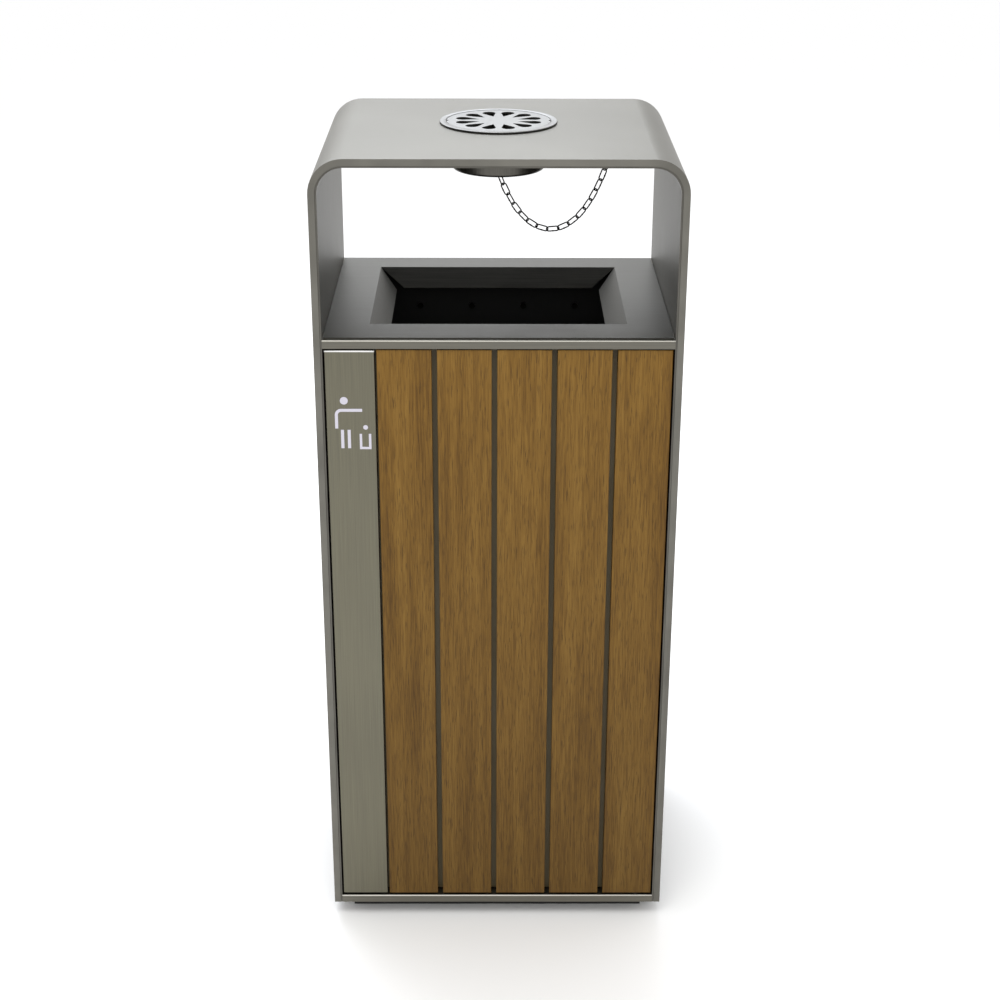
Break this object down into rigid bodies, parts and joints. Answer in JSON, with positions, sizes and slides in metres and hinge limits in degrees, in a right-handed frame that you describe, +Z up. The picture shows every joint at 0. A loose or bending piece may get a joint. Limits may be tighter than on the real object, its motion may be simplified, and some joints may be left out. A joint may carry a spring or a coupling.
{
  "type": "litter bin",
  "caption": "Hooded steel litter bin with a slatted wooden front door, lift-out ashtray on a chain and an inner liner.",
  "frame": {"origin": "on the ground, under the middle of the bin", "axes": "+Z up, -Y towards the front with the door, +X to the right seen from the front"},
  "size_m": [0.425, 0.35, 1.0026],
  "materials": {
    "arch_steel": "fine brushed stainless",
    "rail_steel": "brushed stainless",
    "ashtray_steel": "satin stainless",
    "chain_steel": "dark steel wire",
    "zinc_steel": "zinc plated",
    "liner_steel": "galvanised",
    "backing_steel": "matt olive brown powder coat",
    "plinth_paint": "matt black powder coat",
    "wood": "oiled teak colour, fine grain",
    "rubber": "black rubber",
    "nylon": "natural nylon",
    "lock_chrome": "chromed zinc",
    "symbol_white": "white film"
  },
  "bodies": {
    "cabinet": {"anchor_spacers": "zinc_steel", "arch_inner_skin": "arch_steel", "arch_outer_skin": "arch_steel", "ashtray_chain": "chain_steel", "ashtray_collar": "rail_steel", "back_panel": "backing_steel", "back_slat_1": "wood", "back_slat_2": "wood", "back_slat_3": "wood", "back_slat_4": "wood", "back_slat_5": "wood", "back_slat_6": "wood", "back_slat_screws": "zinc_steel", "canopy_eyebolt": "zinc_steel", "canopy_eyebolt_nut": "zinc_steel", "door_buffers": "rubber", "door_stops": "backing_steel", "floor_pan": "backing_steel", "front_bottom_rail": "rail_steel", "front_top_rail": "rail_steel", "hinge_pins": "zinc_steel", "hinge_washer": "nylon", "left_tray_rail": "rail_steel", "liner_guides": "backing_steel", "liner_stop": "backing_steel", "lock_barrel": "lock_chrome", "lock_nut": "zinc_steel", "plinth": "plinth_paint", "rear_bottom_rail": "rail_steel", "rear_top_rail": "rail_steel", "right_tray_rail": "rail_steel", "tray_panel": "rail_steel"},
    "door": {"door_backing": "backing_steel", "door_catch": "backing_steel", "door_slat_1": "wood", "door_slat_2": "wood", "door_slat_3": "wood", "door_slat_4": "wood", "door_slat_5": "wood", "door_slat_screws": "zinc_steel", "door_stiffeners": "backing_steel", "door_strip": "rail_steel", "hinge_blocks": "zinc_steel", "bin_symbol": "symbol_white"},
    "lock": {"lock_plug": "lock_chrome", "lock_cam": "zinc_steel", "lock_cam_screw": "zinc_steel"},
    "ashtray": {"ashtray_flange": "ashtray_steel", "ashtray_pot": "ashtray_steel", "ashtray_eyebolt": "zinc_steel", "ashtray_eyebolt_nut": "zinc_steel"},
    "grille": {"ashtray_grille": "ashtray_steel"},
    "liner": {"liner_bucket": "liner_steel"}
  },
  "joints": [
    {"name": "door_hinge", "type": "hinge", "parent": "cabinet", "child": "door", "pos_m": [0.1805, -0.166, 0.4], "axis": [0, 0, 1], "range_deg": [0, 110]},
    {"name": "lock_turn", "type": "hinge", "parent": "cabinet", "child": "lock", "pos_m": [-0.2, -0.115, 0.41975], "axis": [1, 0, 0], "range_deg": [0, 90]},
    {"name": "ashtray_lift", "type": "slide", "parent": "cabinet", "child": "ashtray", "axis": [0, 0, 1], "range_m": [0, 0.06], "deforming": ["ashtray_chain"]},
    {"name": "grille_lift", "type": "slide", "parent": "ashtray", "child": "grille", "axis": [0, 0, 1], "range_m": [0, 0.04]},
    {"name": "liner_lift", "type": "slide", "parent": "cabinet", "child": "liner", "axis": [0, 0, 1], "range_m": [0, 0.015]}
  ]
}
